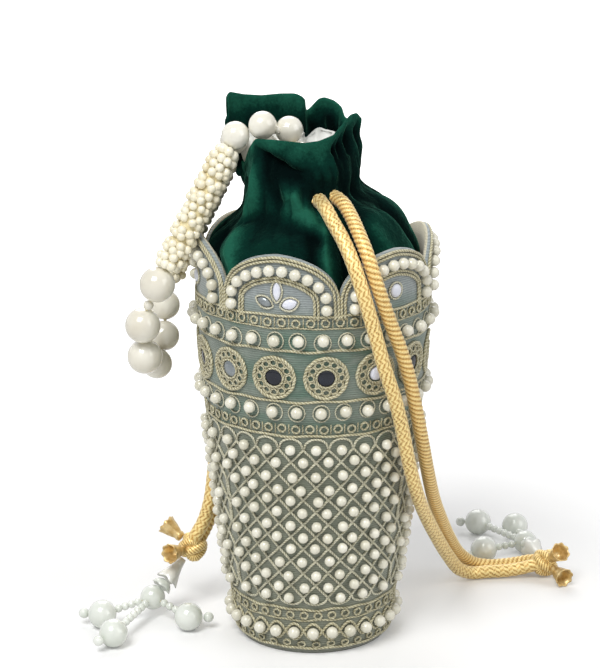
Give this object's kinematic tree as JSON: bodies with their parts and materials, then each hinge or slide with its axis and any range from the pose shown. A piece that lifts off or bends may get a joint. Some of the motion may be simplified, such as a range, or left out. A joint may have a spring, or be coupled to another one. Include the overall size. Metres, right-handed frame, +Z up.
{
  "type": "drawstring pouch",
  "caption": "Stiff scalloped embroidered pouch with a gathered velvet neck, satin lining, gold drawstrings that end in pearl tassels, and a beaded wrist handle.",
  "frame": {"origin": "middle of the base's underside, on the standing surface", "axes": "+Z up, -Y to the pouch's front, +X to the right seen from the front"},
  "size_m": [0.1886, 0.1309, 0.194],
  "materials": {
    "silk": "grey-green silk covered in pale gold thread work, mirrors and pearls",
    "satin": "off-white satin",
    "velvet": "deep emerald velvet",
    "gold_cord": "plaited gold cord",
    "gold_metal": "polished gold-coloured cap",
    "cream_pearl": "cream imitation pearl",
    "cool_pearl": "cool white imitation pearl"
  },
  "bodies": {
    "bag": {"base_panel": "silk", "front_casing_cord": "gold_cord", "front_cord_a": "gold_cord", "front_cord_b": "gold_cord", "left_bell_1": "gold_metal", "left_bell_2": "gold_metal", "left_cap": "cool_pearl", "left_cone": "cool_pearl", "left_drop_1": "cool_pearl", "left_drop_2": "cool_pearl", "left_drop_3": "cool_pearl", "left_hub_pearl": "cool_pearl", "left_knot": "gold_cord", "left_seeds_1": "cool_pearl", "left_seeds_2": "cool_pearl", "left_seeds_3": "cool_pearl", "left_tip_1": "cool_pearl", "left_tip_2": "cool_pearl", "left_tip_3": "cool_pearl", "mouth_pearl_1": "cream_pearl", "mouth_pearl_2": "cream_pearl", "mouth_pearl_3": "cream_pearl", "mouth_pearl_4": "cream_pearl", "rear_casing_cord": "gold_cord", "rear_cord_a": "gold_cord", "rear_cord_b": "gold_cord", "right_bell_1": "gold_metal", "right_bell_2": "gold_metal", "right_cap": "cool_pearl", "right_cone": "cool_pearl", "right_drop_1": "cool_pearl", "right_drop_2": "cool_pearl", "right_drop_3": "cool_pearl", "right_hub_pearl": "cool_pearl", "right_knot": "gold_cord", "right_seeds_1": "cool_pearl", "right_seeds_2": "cool_pearl", "right_seeds_3": "cool_pearl", "right_tip_1": "cool_pearl", "right_tip_2": "cool_pearl", "right_tip_3": "cool_pearl", "satin_lining": "satin", "shell_wall": "silk", "velvet_neck": "velvet"},
    "handle": {"rim_pearl_front": "cream_pearl", "rim_pearl_rear": "cream_pearl", "rope_front": "cream_pearl", "rope_rear": "cream_pearl"},
    "loop": {"loop_pearl_1": "cream_pearl", "loop_pearl_2": "cream_pearl", "loop_pearl_3": "cream_pearl", "loop_pearl_4": "cream_pearl", "loop_pearl_5": "cream_pearl", "loop_pearl_6": "cream_pearl", "spacer_bead_1": "cream_pearl", "spacer_bead_2": "cream_pearl"}
  },
  "joints": [
    {"name": "handle_swing", "type": "hinge", "parent": "bag", "child": "handle", "pos_m": [-0.0275, -0.0005, 0.1834], "axis": [0.218, 0.976, 0], "range_deg": [0, 150]},
    {"name": "loop_fold", "type": "hinge", "parent": "handle", "child": "loop", "pos_m": [-0.05615, -0.00408, 0.13295], "axis": [0.2248, 0.9404, -0.255], "range_deg": [0, 75]}
  ]
}
